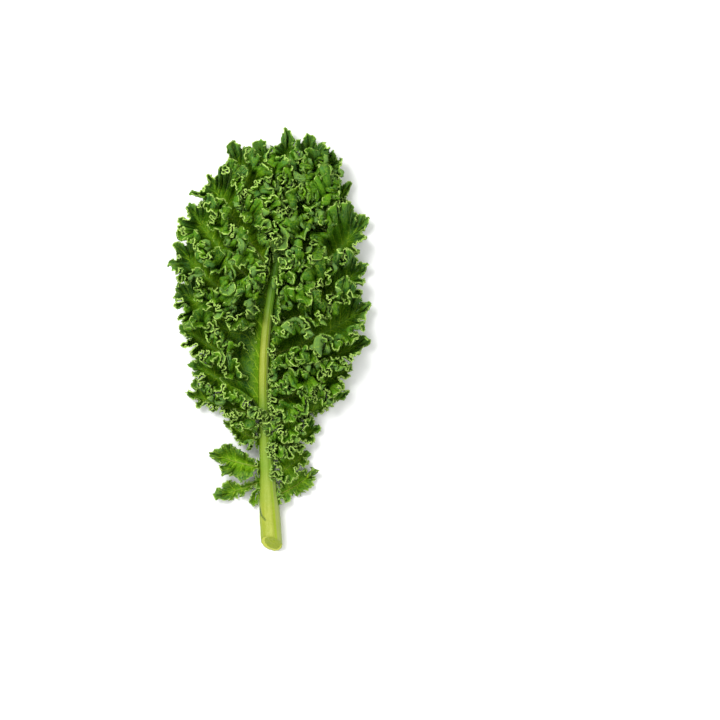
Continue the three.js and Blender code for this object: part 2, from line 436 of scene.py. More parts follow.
# The ruffled blades. Each is a grid: its rows run round the blade's edge, its columns from vein to margin.
blade = {
    "seed": 11,
    "marginStep": 1.1,  # between points along the grown margin
    "columns": 14,
    "crowding": 1.75,  # how much closer the columns are at the margin
    "folds": [  # late: how far out they start; growth: of the margin; scaled: higher on a wider lobe
        {"length": 26, "height": 1.5, "late": 1, "growth": 1, "scaled": False},
        {"length": 11, "height": 4.4, "late": 1, "growth": 1.75, "scaled": True},
        {"length": 4.6, "height": 1.5, "late": 1.8, "growth": 2.1, "scaled": False},
        {"length": 2, "height": 0.35, "late": 4, "growth": 1.65, "scaled": False},
    ],
    "usualHalf": 9,  # half width of a lobe whose scaled folds are as high as given
    "bend": 36,  # how far the wall curves up from its base
    "footLean": 100,  # between the vein and the way the blade leaves it, down to 0 at the tip
    "leanFall": 0.4,
    "leastHalf": 1.2,
    "leastWall": 3,
    "veinHalf": 0.4,
    "veinHeight": 1.2,  # over the trough's floor
    "footRange": (0.15, 0.45),  # where along a lobe its foot widens
    "spreadRange": (0.2, 0.55),  # where its outer half spreads
    "tipRange": (0.8, 0.97),  # where its pointed end takes over
    "tipReach": 0.92,  # how flat that end lies
    "veinStop": 0.97,  # how much of that end's length the vein leaves free
    "wingShare": 0.08,  # of the grid that runs on along the midrib on each side
    "wingOnRib": 0.92,  # of the midrib's radius
    "wingHeight": 0.6,  # of the midrib's top
    "wingTaper": 0.35,
    "thickness": 0.42,
    "rimThickness": 0.72,
    "rimFrom": 0.93,  # of the way across
    "toothSharpness": 1.3,
    "lowest": 0.4,
    "leastTop": 8,
    "samples": 1601,  # taken of a blade's edge before its rows are spaced
}
columnAt = 1 - (1 - np.linspace(0, 1, blade["columns"])) ** blade["crowding"]

# How an ordinary lobe looks. Angles are in degrees unless a note says so.
ordinary = {
    "width": 1.25,  # from vein to margin, over the trough's own
    "standIn": 1.5,  # how far out the wall stands, over the trough's half width
    "ruffle": 1,
    "tongue": 10,  # the smooth pointed end
    "pointing": 1.12,  # how long its point is
    "point": 0.5,  # half its angle, in radians
    "leaning": 0.55,  # how far its wall sways in and out, in radians
    "flare": 58,  # how far the wall's outer half turns outwards
    "tipFlare": -18,
    "wing": 9,  # how far the blade runs on along the midrib
    "wingWidth": 15,
    "wingReach": 3,
    "wingFlare": 20,
    "wingRuffle": 1,
    "tender": 0,
    "tooth": 0.7,
    "toothGap": 11,
    "footWidth": 1,  # the blade's share of its width next to the midrib
    "footRuffle": 1,
    "footEnd": 0.42,  # how far along the lobe its foot runs
    "footTender": 0,
    "lobing": 1,  # how uneven its width is
    "upper": 1.12,  # how far its outer half spreads towards the leaf's tip
    "lower": 0.82,  # and towards the stalk
    "outline": ((0, 1), (1, 1)),  # widths at places round its edge, over its own
    "slot": "blade",
}
# Kinds of lobe, by how they lie beside the midrib and by their shape.
overRib = dict(wingReach=-4, wingFlare=-25, wingWidth=16, wingRuffle=0.55)
besideRib = dict(wingReach=5.5, wingFlare=30, wingWidth=13, wingRuffle=0.8)
clearRib = dict(wingReach=9, wingFlare=34, wingWidth=13, wingRuffle=0.6)
smoothFoot = dict(wing=3, wingWidth=6, wingReach=5, wingFlare=35, wingRuffle=0.1, footWidth=0.3,
                  footRuffle=0.1, footEnd=0.4, footTender=0.3)
bareFoot = dict(wing=4.5, wingWidth=7)
closeFoot = dict(wingReach=-0.5, wingFlare=5, wingWidth=8)
acrossRib = dict(wing=6, wingReach=-3, wingFlare=-15, wingWidth=10.5, wingRuffle=0.7)
flatLobe = dict(upper=1, lower=1, width=0.85, standIn=1.2, ruffle=0.22, tongue=12, lobing=0.7, leaning=0.3,
                pointing=1.35, tooth=1.6, toothGap=9)
longTip = dict(pointing=1.5, point=0.6, upper=1.25, lower=0.9)
calmTip = dict(tongue=15, ruffle=0.8, pointing=1.4, tooth=1, lobing=0.6)
lowLobe = dict(slot="tender_blade")


# A lobe's look: the ordinary one, changed by kinds of lobe and then by values of its own.
def lobe(*kinds, **own):
    look = dict(ordinary)
    for kind in kinds:
        look.update(kind)
    return {**look, **own}


lobes = {
    "left_leaflet": lobe(lowLobe, width=0.8, standIn=1, ruffle=0.1, tongue=7, pointing=1.4, leaning=0.1,
                         wing=0, wingWidth=4, tender=0.9),
    "left_lobe_01": lobe(lowLobe, bareFoot, flatLobe, wing=2.5, tender=0.35, outline=(
        (0, 0.4), (0.07, 0.4), (0.15, 0.4), (0.26, 1.2), (0.33, 0.35), (0.42, 0.75), (0.5, 1), (0.57, 1.05),
        (0.63, 0.95), (0.7, 0.45), (0.78, 0.35), (0.86, 0.5), (0.93, 0.4), (1, 0.4))),
    "left_lobe_02": lobe(bareFoot, flatLobe, width=1.2, tender=0.55, point=0.7, tooth=1.2, outline=(
        (0, 0.45), (0.075, 0.9), (0.175, 1.35), (0.275, 0.65), (0.345, 1.1), (0.4, 0.32), (0.45, 0.5),
        (0.475, 0.8), (0.5, 1), (0.575, 1.15), (0.65, 0.55), (0.725, 1.05), (0.8, 0.65), (0.875, 0.9),
        (1, 0.4))),
    "left_lobe_03": lobe(bareFoot, width=1.05, ruffle=0.75, tender=0.3, lower=0.42),
    "left_lobe_04": lobe(bareFoot, acrossRib, lower=0.4),
    "left_lobe_05": lobe(smoothFoot, lower=0.65),
    "left_lobe_06": lobe(smoothFoot, lower=0.65),
    "left_lobe_07": lobe(smoothFoot, longTip),
    "left_lobe_08": lobe(clearRib, longTip),
    "left_lobe_09": lobe(clearRib, longTip),
    "left_lobe_10": lobe(besideRib, wingWidth=17, wingRuffle=0.3, footRuffle=0.4, footTender=0.5, upper=1.3),
    "left_lobe_11": lobe(overRib, calmTip, upper=1.35),
    "left_lobe_12": lobe(overRib, calmTip),
    "right_lobe_01": lobe(lowLobe, bareFoot, flatLobe, width=0.75, ruffle=0.35, tender=0.5, tooth=2.4,
                          toothGap=11, lobing=2.6, pointing=1.3, upper=1.1, lower=0.8),
    "right_lobe_02": lobe(bareFoot, closeFoot, width=1.05, ruffle=0.85, tender=0.3, lower=0.65),
    "right_lobe_03": lobe(bareFoot, closeFoot, lower=0.55),
    "right_lobe_04": lobe(acrossRib, upper=1.25, lower=0.3, outline=(
        (0, 1), (0.38, 1), (0.46, 1.2), (0.5, 0.85), (0.54, 0.45), (0.7, 0.6), (1, 1))),
    "right_lobe_05": lobe(besideRib, upper=1.2),
    "right_lobe_06": lobe(besideRib, longTip, pointing=1.6, upper=1.3),
    "right_lobe_07": lobe(besideRib, longTip, pointing=1.75, upper=1.6),
    "right_lobe_08": lobe(clearRib, longTip, upper=1.35, lower=0.7),
    "right_lobe_09": lobe(clearRib, longTip, pointing=1.6, upper=1.45, lower=0.65),
    "right_lobe_10": lobe(besideRib, width=1.35, upper=1.45, lower=0.3),
    "right_lobe_11": lobe(overRib, wingWidth=20, wingRuffle=0.3, ruffle=0.75, footRuffle=0.3, footEnd=0.65,
                          upper=1.35, lower=1.3),
    "right_lobe_12": lobe(overRib, calmTip, lower=1.45),
    "tip_lobe": lobe(tongue=22, ruffle=0.35, pointing=1.31, point=0.36, tooth=0.6, lobing=0.4),
}


def growthAt(share, strength):
    total = 1.0
    for fold in blade["folds"]:
        total = total * (1 + (fold["growth"] - 1) * strength * share ** fold["late"])
    return total


# For places q round a blade's edge, 0 and 1 at its foot and a half at its tip: where it is rooted, which
# way it leaves the vein, how far out it stands and how wide it is. Past 0 and 1 it follows the midrib.
def alongBlade(trough, look, q):
    length, ahead, across, foot = trough["length"], trough["ahead"], trough["across"], trough["foot"]
    tongue = min(look["tongue"], length / 2)
    veinEnd = 1 - blade["veinStop"] * tongue / length
    station = 1 - np.abs(2 * np.clip(q, 0, 1) - 1)
    side = np.where(q < 0.5, 1.0, -1.0)
    veinAt = station * veinEnd
    lean = np.radians(blade["footLean"]) * (1 - station) ** blade["leanFall"]
    half = np.maximum(trough["half"](veinAt), blade["leastHalf"])
    height = np.maximum(trough["floor"](veinAt), 0) + blade["veinHeight"]
    top = trough["top"](veinAt)
    reach = look["standIn"] * half / np.maximum(np.sin(lean), 0.6)
    width = np.hypot(half, np.maximum(top - height, blade["leastWall"])) * look["width"]
    point = look["point"]
    pointed = tongue * look["pointing"] * np.sin(point) / np.sin(point + np.minimum(lean, 1.6))
    width = width * blendTo(look["footWidth"], 1, smooth(*blade["footRange"], station))
    atTip = smooth(*blade["tipRange"], station)
    spread = np.where(side * across[1] > 0, look["upper"], look["lower"])
    spread = blendTo(1, spread, smooth(*blade["spreadRange"], station) * (1 - smooth(0.9, 1, station)))
    reach = blendTo(reach, blade["tipReach"] * pointed, atTip) * spread
    wider = np.minimum(spread, (1 + spread) / 2)
    width = blendTo(width, pointed, atTip) * np.interp(q, *np.transpose(look["outline"])) * wider
    root = foot + (veinAt * length)[:, None] * ahead + trough["centre"](veinAt)[:, None] * across
    slope = trough["centre"].deriv()(veinAt) / length
    forward = unit(ahead + slope[:, None] * across)
    left = np.stack([-forward[:, 1], forward[:, 0]], 1)
    outward = forward * np.cos(lean)[:, None] + left * (side * np.sin(lean))[:, None]
    nearFoot = np.zeros_like(q)
    if trough["name"] != "tip_lobe":
        hand = np.sign(foot[0] - midrib["centre"](foot[1]))
        rib = midrib["centre"](foot[1]) + hand * midrib["radius"](foot[1])
        rootY = foot[1] - ahead[1] * (foot[0] - rib) / ahead[0]
        upDown = np.sign(across[1]) * side
        over = np.maximum(np.maximum(-q, q - 1), 0) / blade["wingShare"]
        y = rootY + upDown * over * look["wing"]
        onRib = np.stack([midrib["centre"](y) + hand * blade["wingOnRib"] * midrib["radius"](y), y], 1)
        nearFoot = np.where(over > 0, 1, 1 - smooth(0, 0.1, station))
        root = blendTo(root, onRib, nearFoot[:, None])
        away = unit(np.stack([np.full_like(y, hand), 0.25 * upDown], 1))
        outward = unit(blendTo(outward, away, nearFoot[:, None]))
        height = blendTo(height, blade["wingHeight"] * midrib["top"](y), nearFoot)
        width = blendTo(width, look["wingWidth"] * (1 - blade["wingTaper"] * over), nearFoot)
        reach = blendTo(reach, look["wingReach"], nearFoot)
    return {"station": station, "root": root, "height": height, "outward": outward, "reach": reach,
            "width": width, "half": half, "top": top, "nearFoot": nearFoot}


# The slow changes round a blade's edge: their length and how strong they are.
drift = {"growth": (26, 0.2), "width": (15, 0.13), "notch": (6.5, 0.07), "lean": (30, 1), "top": (18, 0.08)}


def drifting(name, along, rng):
    length, share = drift[name]
    return share * waver(along, length, rng)


# One lobe's grid before it grows: its walls lean out from the vein and carry only the seeds of folds.
def layOut(trough, look, rng):
    extra = 0 if trough["name"] == "tip_lobe" or look["wing"] == 0 else blade["wingShare"]
    fine = np.linspace(-extra, 1 + extra, blade["samples"])
    at = alongBlade(trough, look, fine)
    arc = lengthsAlong(at["root"] + at["outward"] * at["reach"][:, None])
    tipward = np.abs(fine - 0.5) * 2
    strength = look["ruffle"] * (1 + drifting("growth", arc, rng))
    strength = strength * (0.1 + 0.9 * smooth(0.02, 0.13, tipward))
    strength = strength * blendTo(1, look["wingRuffle"], at["nearFoot"])
    strength = strength * blendTo(look["footRuffle"], 1, smooth(0.12, look["footEnd"], at["station"]))
    growth = growthAt(1.0, strength)
    grown = np.concatenate([[0], np.cumsum(np.diff(arc) * (growth[1:] + growth[:-1]) / 2)])
    count = int(grown[-1] / blade["marginStep"]) // 2 * 2 + 1
    q = np.interp(np.linspace(0, grown[-1], count), grown, fine)
    base = np.interp(q, fine, arc)
    strength = np.interp(q, fine, strength)
    at = alongBlade(trough, look, q)
    uneven = drifting("width", base, rng) + drifting("notch", base, rng)
    width = at["width"] * (1 + look["lobing"] * uneven)

    t = columnAt[None]
    mean = np.arccos(np.clip(at["reach"] / width, -0.5, 0.98))[:, None]
    lean = drifting("lean", base, rng) * look["leaning"] * smooth(0, 0.2, 1 - at["station"])
    flare = look["flare"] + look["tipFlare"] * smooth(0.6, 1, at["station"])
    flare = blendTo(flare, look["wingFlare"], at["nearFoot"])
    angle = mean + np.radians(blade["bend"]) * (2 * smooth(0, 0.5, t) - 1) + lean[:, None] * smooth(0.3, 1, t)
    angle = angle - np.radians(flare)[:, None] * smooth(0.5, 1, t)
    step = width[:, None] * np.diff(t)
    nothing = np.zeros((count, 1))
    run, rise = [np.concatenate([nothing, np.cumsum(part(angle[:, :-1]) * step, axis=1)], axis=1)
                 for part in (np.cos, np.sin)]
    run = run + blade["veinHalf"]
    outward = at["outward"][:, None]
    flat = at["root"][:, None] + outward * run[..., None]
    guide = np.concatenate([flat, (at["height"][:, None] + rise)[..., None]], axis=2)
    wall = np.concatenate([outward * np.sin(angle)[..., None], -np.cos(angle)[..., None]], axis=2)
    calm = 0.12 + 0.88 * smooth(0.03, 0.13, np.abs(q - 0.5) * 2)
    calm = calm * smooth(0, 4, base) * smooth(0, 4, base[-1] - base)
    calm = calm * blendTo(1, look["wingRuffle"], at["nearFoot"]) * look["ruffle"]
    calm = calm * blendTo(look["footRuffle"], 1, smooth(0.12, look["footEnd"], at["station"]))
    for fold in blade["folds"]:
        wave = waver(base, fold["length"], rng) * fold["height"] * calm
        if fold["scaled"]:
            wave = wave * at["half"] / blade["usualHalf"]
        guide = guide + wall * (wave[:, None] * t ** fold["late"])[..., None]
    guide[..., 2] = np.maximum(guide[..., 2], blade["lowest"])
    top = np.maximum(at["top"], blade["leastTop"]) * (1 + drifting("top", base, rng))
    # The lobe's own tender paleness, with painted light added at the feet of some lobes, beside the midrib.
    tender = look["tender"] + look["footTender"] * (1 - smooth(0.1, look["footEnd"], at["station"]))
    return {"guide": guide, "base": base, "strength": strength, "width": width, "top": top, "tender": tender,
            "atTip": smooth(0.72, 0.95, at["station"])}


# Pairs of points that are closer than a reach, found by sorting them into cells of that size.
def nearPairs(points, reach):
    cell = np.floor((points - points.min(0)) / reach).astype(np.int64) + 1
    sizes = cell.max(0) + 2
    key = (cell[:, 0] * sizes[1] + cell[:, 1]) * sizes[2] + cell[:, 2]
    order = np.argsort(key, kind="stable")
    key, where = key[order], points[order]
    count = np.bincount(key, minlength=int(np.prod(sizes)) + 1)
    start = np.cumsum(count) - count
    number = np.arange(len(order))
    firsts, seconds = [], []
    steps = [(x * sizes[1] + y) * sizes[2] + z for x in (-1, 0, 1) for y in (-1, 0, 1) for z in (-1, 0, 1)]
    for offset in [step for step in steps if step >= 0]:
        there = count[key + offset]
        i = np.repeat(number, there)
        j = np.repeat(start[key + offset] - (np.cumsum(there) - there), there) + np.arange(there.sum())
        apart = where[i] - where[j]
        near = np.einsum("ij,ij->i", apart, apart) < reach * reach
        if offset == 0:
            near &= j > i
        firsts.append(order[i[near]])
        seconds.append(order[j[near]])
    return np.concatenate(firsts), np.concatenate(seconds)


def sizesOf(vectors):
    return np.sqrt(np.einsum("...k,...k->...", vectors, vectors)) + 1e-6


# Draws two grids of points together, or apart, to a length.
def draw(first, second, length, weight):
    apart = second - first
    size = sizesOf(apart)
    move = apart * ((size - length) / size * 0.5 * weight)[..., None]
    first += move
    second -= move


growing = {
    "rounds": 260,
    "grownAt": 0.72,  # of the rounds, when the margin has its full length
    "carriedOn": 0.86,  # of a point's last move
    "hold": 0.03,  # to where it was laid out, at the vein and at the margin
    "marginHold": 0.0012,
    "stiffAcross": 0.22,
    "stiffAlong": 0.02,
    "passes": 2,
    "pull": 0.9,  # to the grown lengths
    "slantPull": 0.25,
    "clearance": 2.2,  # below which folds are pushed apart
    "lookEvery": 6,  # rounds, for folds that are near each other
    "lookWithin": 1.35,  # clearances
    "sameFold": 2.2,  # clearances along the blade, within which points don't push each other
    "push": 0.4,
    "mostPush": 0.5,
    "inset": 0.6,  # from the sides of the leaf's box
    "underTop": 0.3,
    "settle": 0.5,  # of how far a point is outside the box
}


# The margins grow much longer than the veins, so the blades buckle into folds within folds. Points are
# drawn to their grown lengths round after round, while near folds are pushed apart. Some still cross.
def grow(grids):
    columns = blade["columns"]
    starts = np.cumsum([0] + [len(grid["base"]) for grid in grids])
    joint = {name: np.concatenate([grid[name] for grid in grids]) for name in grids[0]}
    base, strength, width = joint["base"], joint["strength"], joint["width"]
    lobeOf = np.repeat(np.arange(len(grids)), np.diff(starts))
    guide = joint["guide"].astype(np.float32)
    t = columnAt.astype(np.float32)
    linked = np.ones((starts[-1] - 1, 1), np.float32)
    linked[starts[1:-1] - 1] = 0
    veinStep = np.linalg.norm(np.diff(guide[:, 0], axis=0), axis=1)[:, None]
    marginStep = np.maximum(np.diff(base), 1e-3)[:, None]
    middle = ((strength[1:] + strength[:-1]) / 2)[:, None]
    grown = (blendTo(veinStep, marginStep, t[None]) * growthAt(t[None], middle)).astype(np.float32)
    begun = np.linalg.norm(np.diff(guide, axis=0), axis=2) * linked
    grown = np.maximum(grown, begun)
    begun = np.minimum(begun, grown)
    across = (width[:, None] * np.diff(t)[None]).astype(np.float32)
    before, after = np.diff(t)[:-1], np.diff(t)[1:]
    toNext = (before / (before + after))[None, :, None]

    evenRows = np.concatenate([np.arange(a, b, 2) for a, b in zip(starts[:-1], starts[1:])])
    oddRows = np.concatenate([np.arange(a + 1, b, 2) for a, b in zip(starts[:-1], starts[1:])])
    probed = np.arange(columns - 1, 2, -2)[::-1]
    between = np.setdiff1d(np.arange(1, columns - 1), probed)
    row, column = np.repeat(evenRows, len(probed)), np.tile(probed, len(evenRows))
    probeGrowth = growthAt(t[column], strength[row])
    probeAcross = t[column] * width[row]

    points, last = guide.copy(), guide.copy()
    rooted = guide[:, 0].copy()
    nearest, furthest = [np.array(corner[:2]) / toMetres for corner in cadBox]
    nearest = (nearest + growing["inset"]).astype(np.float32)
    furthest = (furthest - growing["inset"]).astype(np.float32)
    held = (growing["hold"] * (1 - t) ** 1.5 + growing["marginHold"])[None, :, None]
    ceiling = cadBox[1][2] / toMetres - growing["underTop"]
    top = np.minimum(joint["top"], ceiling)[:, None].astype(np.float32)
    clear, settle, most = growing["clearance"], growing["settle"], growing["mostPush"]
    pull, slantPull = growing["pull"], growing["slantPull"]
    inner = (linked[1:] * linked[:-1])[..., None]
    rounds = growing["rounds"]
    for turn in range(rounds):
        lengths = blendTo(begun, grown, min(1.0, (turn + 1) / (growing["grownAt"] * rounds)))
        slant = np.sqrt(((lengths[:, 1:] + lengths[:, :-1]) / 2) ** 2 + across[1:] ** 2)
        points, last = points + (points - last) * growing["carriedOn"], points
        points += (guide - points) * held
        flat = points[:, :-2] * (1 - toNext) + points[:, 2:] * toNext
        points[:, 1:-1] += growing["stiffAcross"] * (flat - points[:, 1:-1])
        points[1:-1] += growing["stiffAlong"] * inner * (points[:-2] + points[2:] - 2 * points[1:-1])
        for again in range(growing["passes"]):
            for odd in (0, 1):
                draw(points[odd:-1:2], points[odd + 1::2], lengths[odd::2], linked[odd::2] * pull)
            for odd in (0, 1):
                draw(points[:, odd:-1:2], points[:, odd + 1::2], across[:, odd::2], pull)
            draw(points[:-1, :-1], points[1:, 1:], slant, linked * slantPull)
            draw(points[:-1, 1:], points[1:, :-1], slant, linked * slantPull)
            points[:, 0] = rooted
        if turn % growing["lookEvery"] == 0:
            first, second = nearPairs(points[row, column], clear * growing["lookWithin"])
            growth = np.minimum(probeGrowth[first], probeGrowth[second])
            along = (base[row[first]] - base[row[second]]) * growth
            apart = np.hypot(along, probeAcross[first] - probeAcross[second])
            other = (lobeOf[row[first]] != lobeOf[row[second]]) | (apart > growing["sameFold"] * clear)
            first, second = first[other], second[other]
        probe = points[row, column]
        gap = probe[first] - probe[second]
        size = sizesOf(gap)
        move = gap * (np.maximum(clear - size, 0) / size * growing["push"])[:, None]
        push = np.stack([np.bincount(first, move[:, k], len(row)) - np.bincount(second, move[:, k], len(row))
                         for k in range(3)], 1)
        shift = np.zeros_like(points)
        shift[row, column] = np.clip(push, -most, most)
        for number in between:
            shift[:, number] = (shift[:, number - 1] + shift[:, number + 1]) / 2
        shift[oddRows] = (shift[oddRows - 1] + shift[oddRows + 1]) / 2
        points += shift
        points[..., 2] = np.maximum(points[..., 2], blade["lowest"])
        points[..., 2] -= np.maximum(points[..., 2] - top, 0) * settle
        points[..., :2] += (np.clip(points[..., :2], nearest, furthest) - points[..., :2]) * settle
        points[:, 0] = rooted
    strain = np.abs(np.linalg.norm(np.diff(points, axis=0), axis=2) / grown - 1)[linked[:, 0] > 0].mean()
    print(f"blades grown: {len(base)} rows, {points.size // 3} points, {strain:.3f} off their lengths")
    return points, starts, joint


# Teeth along one margin, drawn out along the blade.
def cutTeeth(points, tooth, gap, rng):
    arc = lengthsAlong(points[:, -1])
    size = (1 - np.abs(waver(arc, gap, rng, wander=0.6))).clip(0) ** blade["toothSharpness"] * tooth
    outward = unit(points[:, -1] - points[:, -4])
    points += outward[:, None] * (size[:, None] * smooth(0.5, 1, columnAt)[None])[..., None]
    points[..., 2] = np.maximum(points[..., 2], blade["lowest"])


# A closed skin on both faces of a blade, its underside first, with rims round its edge. The corners of the
# rims run the wrong way round, so the rims face inwards.
def shell(points, joint, rows):
    count, columns = points.shape[:2]
    normal = unit(np.cross(np.gradient(points, axis=1), np.gradient(points, axis=0)))
    t = columnAt[None]
    thicker = (blade["rimThickness"] - blade["thickness"]) * smooth(blade["rimFrom"], 1, t)
    half = (blade["thickness"] + thicker) / 2
    lift = normal * half[..., None]
    back = np.arange(count * columns).reshape(count, columns)
    front = back + count * columns

    def quads(grid):
        return np.stack([grid[:-1, :-1], grid[:-1, 1:], grid[1:, 1:], grid[1:, :-1]], -1).reshape(-1, 4)

    def rim(first, second):
        return np.stack([first[:-1], first[1:], second[1:], second[:-1]], -1)

    faces = [
        quads(back), quads(front)[:, ::-1],
        rim(back[:, -1], front[:, -1]), rim(front[:, 0], back[:, 0]),
        rim(front[-1], back[-1]), rim(back[0], front[0]),
    ]
    width, base = joint["width"][rows, None], joint["base"][rows, None]
    # Painted light: paler green towards the vein, on the slopes beside it, added to the lobe's own tender
    # paleness.
    tender = joint["tender"][rows, None] + 0.5 * (1 - smooth(0, 0.35, t)) + 0.35 * (1 - smooth(0, 0.12, t))
    facts = {
        "toMargin": (1 - t) * width,
        "across": t + 0 * width,
        "fromVein": t * width,
        "edgePlace": base + 0 * t,
        "stretch": growthAt(t, joint["strength"][rows, None]),
        "tender": np.clip(tender, 0, 1),
        "atTip": joint["atTip"][rows, None] + 0 * t,
    }
    facts = {name: np.tile(value.reshape(-1), 2) for name, value in facts.items()}
    facts["beneath"] = np.repeat([1.0, 0.0], count * columns)
    verts = np.concatenate([(points + lift).reshape(-1, 3), (points - lift).reshape(-1, 3)])
    return verts, np.concatenate(faces), facts


def addFacts(mesh, facts):
    for name, values in facts.items():
        kind, slot = ("FLOAT", "value") if values.ndim == 1 else ("FLOAT_VECTOR", "vector")
        attribute = mesh.attributes.new(name, kind, "POINT")
        attribute.data.foreach_set(slot, values.astype(np.float32).reshape(-1))


def sheetPiece(name, verts, faces, facts, material):
    mesh = bpy.data.meshes.new(name)
    mesh.from_pydata((verts * toMetres).tolist(), [], faces.tolist(), shade_flat=False)
    addFacts(mesh, facts)
    mesh.materials.append(material)
    return newObject(name, mesh)


# Sweeps a ribbed round along paths. Each path point keeps its girth, its distance from the cut and its own
# place, and the cut end is slanted by how far a point is above and beside its path.
def sweepTree():
    tree = bpy.data.node_groups.new("sweep", "GeometryNodeTree")
    inputs = {
        "Geometry": "Geometry", "Sides": "Int", "Ribs": "Float", "Rib Depth": "Float", "Top Height": "Float",
        "Cut Slope": "Float", "Cut Skew": "Float", "Cut Rough": "Float", "Cut Reach": "Float",
        "Material": "Material",
    }
    for name, kind in inputs.items():
        tree.interface.new_socket(name=name, in_out="INPUT", socket_type="NodeSocket" + kind)
    tree.interface.new_socket(name="Geometry", in_out="OUTPUT", socket_type="NodeSocketGeometry")
    board = Board(tree)
    given = {name: board.add("NodeGroupInput", out=number) for number, name in enumerate(inputs)}

    def kept(name, kind="FLOAT"):
        return board.add("GeometryNodeInputNamedAttribute", {"data_type": kind}, {"Name": name})

    def parts(vector):
        return [board.add("ShaderNodeSeparateXYZ", {}, {0: vector}, out=number) for number in range(3)]

    ring = board.add("GeometryNodeCurvePrimitiveCircle", {"mode": "RADIUS"},
                     {"Resolution": given["Sides"], "Radius": 1.0})
    place = board.add("GeometryNodeInputPosition")
    x, y = parts(place)[:2]
    bulge = 1 + given["Rib Depth"] * maths("COSINE", maths("ARCTAN2", y, x) * given["Ribs"])
    flatter = 1 - (1 - given["Top Height"]) * maths("LESS_THAN", y, 0.0)
    shaped = board.add("ShaderNodeCombineXYZ", {}, {"X": x * bulge, "Y": y * bulge * flatter, "Z": 0.0})
    profile = board.add("GeometryNodeStoreNamedAttribute", {"data_type": "FLOAT_VECTOR", "domain": "POINT"},
                        {"Geometry": ring, "Name": "around", "Value": place})
    profile = board.add("GeometryNodeSetPosition", {}, {"Geometry": profile, "Position": shaped})
    path = board.add("GeometryNodeMeshToCurve", {}, {"Mesh": given["Geometry"]})
    path = board.add("GeometryNodeSetCurveNormal", {"mode": "Z_UP"}, {"Curve": path})
    swept = board.add("GeometryNodeCurveToMesh", {},
                      {"Curve": path, "Profile Curve": profile, "Scale": kept("girth"), "Fill Caps": True})
    here, axis = parts(place), parts(kept("axis", "FLOAT_VECTOR"))
    uneven = board.add("ShaderNodeTexNoise", {}, {"Vector": place, "Scale": 260.0, "Detail": 3.0}) - 0.5
    slide = (here[2] - axis[2]) * given["Cut Slope"] - (here[0] - axis[0]) * given["Cut Skew"]
    slide = (slide + uneven * given["Cut Rough"]) * (1 - kept("fromCut").fade(0.0, given["Cut Reach"]))
    offset = board.add("ShaderNodeCombineXYZ", {}, {"X": 0.0, "Y": slide, "Z": 0.0})
    swept = board.add("GeometryNodeSetPosition", {}, {"Geometry": swept, "Offset": offset})
    swept = board.add("GeometryNodeSetShadeSmooth", {}, {"Geometry": swept})
    whole = board.add("GeometryNodeRealizeInstances", {}, {"Geometry": swept})
    whole = board.add("GeometryNodeSetMaterial", {}, {"Geometry": whole, "Material": given["Material"]})
    board.add("NodeGroupOutput", {}, {"Geometry": whole})
    return tree


# Sweeps paths, each a line of points in millimetres, and keeps the outcome as a plain mesh.
def sweepPiece(name, tree, paths, facts, settings):
    points = np.concatenate(paths)
    ends = np.cumsum([len(path) for path in paths])
    links = np.stack([np.arange(len(points) - 1), np.arange(1, len(points))], 1)
    links = np.delete(links, ends[:-1] - 1, axis=0)
    mesh = bpy.data.meshes.new(name)
    mesh.from_pydata((points * toMetres).tolist(), links.tolist(), [])
    addFacts(mesh, {**facts, "axis": points * toMetres})
    host = newObject(name, mesh)
    modifier = host.modifiers.new("sweep", "NODES")
    modifier.node_group = tree
    for socket in tree.interface.items_tree:
        if socket.name in settings:
            modifier[socket.identifier] = settings[socket.name]
    made = bpy.data.meshes.new_from_object(host.evaluated_get(bpy.context.evaluated_depsgraph_get()))
    host.modifiers.clear()
    host.data = made
    return host


stalk = {
    "sweep": {  # the last two in metres
        "Sides": 72, "Ribs": 13.0, "Rib Depth": 0.022, "Top Height": 0.8,
        "Cut Slope": 0.75, "Cut Skew": 0.3, "Cut Rough": 0.0034, "Cut Reach": 0.022,
    },
    "step": 1.3,  # between rings along it
    "girth": 1.03,  # over the solid's own
    "waves": ((0.012, 5.0), (0.01, 2.1)),  # how uneven its girth is, and over what length
    "farTaper": 6.0,
    "cutRings": (0.03, 0.2, 0.4, 0.58, 0.74, 0.86, 0.94, 0.985),
    "cutCrown": 0.3,  # how far the cut face bulges
    "youngAndShade": (  # how green the midrib is at places along the leaf: young green towards the tip, and painted shade in the bands further down
        (-122, 0), (-110, 0.2), (-99, 0.4), (-89, 0.65), (-78, 0.5), (-67, 0.6), (-57, 0.85), (-48, 0.7),
        (-39, 0.4), (-29, 0.1), (-8, 0), (10, 0.3), (22, 0.75), (38, 1)),
    "scar": ((-8.1, -119.6), (-6.9, -124.2), (-4.0, -127.4)),
    "scarWidth": 0.5,
    "scarAbove": 5.0,  # its height on the stalk
}


